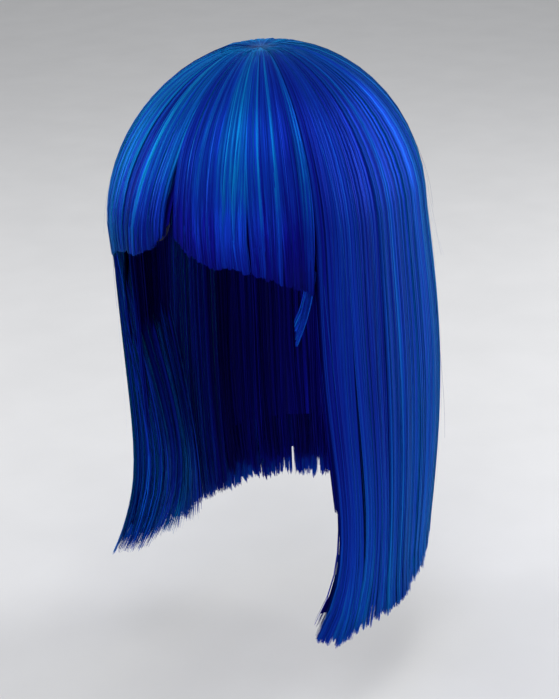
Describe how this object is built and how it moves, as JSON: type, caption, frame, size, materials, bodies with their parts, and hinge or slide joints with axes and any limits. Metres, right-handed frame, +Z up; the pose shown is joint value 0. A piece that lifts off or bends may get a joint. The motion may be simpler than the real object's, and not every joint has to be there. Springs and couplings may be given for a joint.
{
  "type": "costume wig",
  "caption": "Straight shoulder-length costume wig with a split fringe, on a stretch cap with sewn wefts, ribs, ear tabs and sliding adjusters.",
  "frame": {"origin": "middle of the head opening, level with the top of the ears", "axes": "+Z up towards the crown, -Y the way the wearer faces, +X the wearer's left"},
  "size_m": [0.1936, 0.2232, 0.3706],
  "materials": {
    "hair": "silky straight synthetic fibre, bright royal blue, soft sheen",
    "under_hair": "the same fibre in the shade, deep ultramarine",
    "lace": "fine stretch net, dark navy",
    "band": "woven stretch tape, dark navy",
    "rib": "elastic ribbon, dark navy",
    "weft": "machine-stitched weft heading, blue",
    "skin_top": "thin supple skin-like film, pale lilac, matte",
    "strap": "woven elastic, dark navy",
    "loop": "stitched loops, dark navy",
    "hook": "moulded hook, dark, satin",
    "stay": "flat metal stay"
  },
  "bodies": {
    "cap": {"skin_top": "skin_top", "crown_lace": "lace", "hairline_band": "band", "side_binding_left": "band", "side_binding_right": "band", "nape_band": "band", "cap_rib_1": "rib", "cap_rib_2": "rib", "cap_rib_3": "rib", "cap_rib_4": "rib", "cap_rib_5": "rib", "cap_rib_6": "rib", "cap_rib_7": "rib", "back_weft_1": "weft", "back_weft_2": "weft", "back_weft_3": "weft", "back_weft_4": "weft", "back_weft_5": "weft", "back_weft_6": "weft", "crown_weft_1": "weft", "crown_weft_2": "weft", "fringe_weft": "weft", "slot_loops_left": "loop", "slot_loops_right": "loop", "adjuster_strap_left": "strap", "adjuster_strap_right": "strap", "crown_hair_front": "hair", "crown_hair_left": "hair", "crown_hair_right": "hair", "crown_hair_back": "hair"},
    "ear_tab_left": {"ear_tab_left": "band", "ear_tab_stay_left": "stay"},
    "adjuster_hook_left": {"adjuster_hook_left": "hook"},
    "fringe_left": {"fringe_left": "hair", "temple_wisp_left": "hair"},
    "front_lock_left": {"front_lock_left": "hair", "under_lock_left": "under_hair"},
    "side_curtain_left": {"side_curtain_left": "hair"},
    "rear_quarter_left": {"rear_quarter_left": "hair", "under_quarter_left": "under_hair"},
    "ear_tab_right": {"ear_tab_right": "band", "ear_tab_stay_right": "stay"},
    "adjuster_hook_right": {"adjuster_hook_right": "hook"},
    "fringe_right": {"fringe_right": "hair", "temple_wisp_right": "hair"},
    "front_lock_right": {"front_lock_right": "hair", "under_lock_right": "under_hair"},
    "side_curtain_right": {"side_curtain_right": "hair"},
    "rear_quarter_right": {"rear_quarter_right": "hair", "under_quarter_right": "under_hair"},
    "back_curtain": {"back_curtain": "hair", "nape_hair": "under_hair"}
  },
  "joints": [
    {"name": "fringe_left_lift", "type": "hinge", "parent": "cap", "child": "fringe_left", "pos_m": [0.03447, -0.07564, 0.06], "axis": [-0.91, -0.4147, 0], "range_deg": [0, 35]},
    {"name": "front_lock_left_swing", "type": "hinge", "parent": "cap", "child": "front_lock_left", "pos_m": [0.0797, -0.0318, 0.002], "axis": [-0.3706, -0.9288, 0], "range_deg": [0, 35]},
    {"name": "side_curtain_left_swing", "type": "hinge", "parent": "cap", "child": "side_curtain_left", "pos_m": [0.08205, 0.01692, 0.002], "axis": [0.2019, -0.9794, 0], "range_deg": [0, 35]},
    {"name": "rear_quarter_left_swing", "type": "hinge", "parent": "cap", "child": "rear_quarter_left", "pos_m": [0.0678, 0.06468, 0.002], "axis": [0.6903, -0.7236, 0], "range_deg": [0, 35]},
    {"name": "ear_tab_left_flex", "type": "hinge", "parent": "cap", "child": "ear_tab_left", "pos_m": [0.07049, -0.02155, 0.026], "axis": [0.2924, 0.9563, 0], "range_deg": [0, 12]},
    {"name": "adjuster_left_slide", "type": "slide", "parent": "cap", "child": "adjuster_hook_left", "axis": [-0.9205, 0.3907, 0], "range_m": [-0.007, 0.007], "deforming": ["adjuster_strap_left"]},
    {"name": "fringe_right_lift", "type": "hinge", "parent": "cap", "child": "fringe_right", "pos_m": [-0.03447, -0.07564, 0.06], "axis": [-0.91, 0.4147, 0], "range_deg": [0, 35]},
    {"name": "front_lock_right_swing", "type": "hinge", "parent": "cap", "child": "front_lock_right", "pos_m": [-0.0797, -0.0318, 0.002], "axis": [-0.3706, 0.9288, 0], "range_deg": [0, 35]},
    {"name": "side_curtain_right_swing", "type": "hinge", "parent": "cap", "child": "side_curtain_right", "pos_m": [-0.08205, 0.01692, 0.002], "axis": [0.2019, 0.9794, 0], "range_deg": [0, 35]},
    {"name": "rear_quarter_right_swing", "type": "hinge", "parent": "cap", "child": "rear_quarter_right", "pos_m": [-0.0678, 0.06468, 0.002], "axis": [0.6903, 0.7236, 0], "range_deg": [0, 35]},
    {"name": "ear_tab_right_flex", "type": "hinge", "parent": "cap", "child": "ear_tab_right", "pos_m": [-0.07049, -0.02155, 0.026], "axis": [0.2924, -0.9563, 0], "range_deg": [0, 12]},
    {"name": "adjuster_right_slide", "type": "slide", "parent": "cap", "child": "adjuster_hook_right", "axis": [0.9205, 0.3907, 0], "range_m": [-0.007, 0.007], "deforming": ["adjuster_strap_right"]},
    {"name": "back_curtain_swing", "type": "hinge", "parent": "cap", "child": "back_curtain", "pos_m": [0, 0.09665, 0.002], "axis": [1, 0, 0], "range_deg": [0, 35]}
  ]
}
